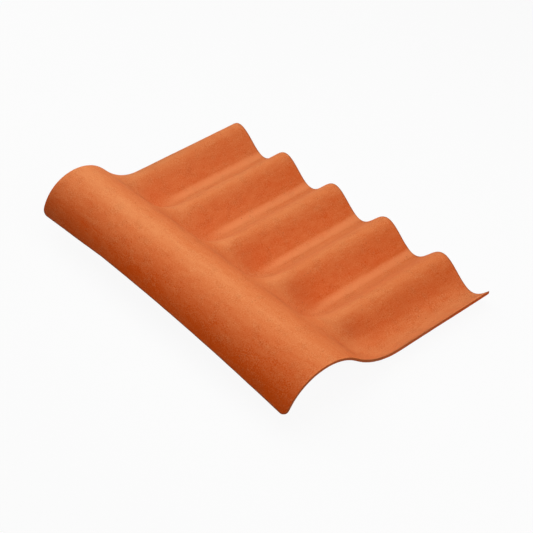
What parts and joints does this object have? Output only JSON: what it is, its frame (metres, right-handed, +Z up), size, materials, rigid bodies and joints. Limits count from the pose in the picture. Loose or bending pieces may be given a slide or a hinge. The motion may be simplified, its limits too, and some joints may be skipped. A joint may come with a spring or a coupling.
{
  "type": "ridge tile",
  "caption": "Half of a two-piece ridge for a corrugated roof: a tapered half-round roll that runs into a wavy wing.",
  "frame": {"origin": "under the middle of the tile's box, at the floor that the troughs of its wing rest on", "axes": "+X along the ridge towards the wide end of the roll, +Y from the roll out along the wing, +Z up"},
  "size_m": [0.872, 0.5878, 0.1415],
  "materials": {
    "fibre_cement": "matte"
  },
  "bodies": {
    "root": {"ridge_tile": "fibre_cement"}
  },
  "joints": []
}
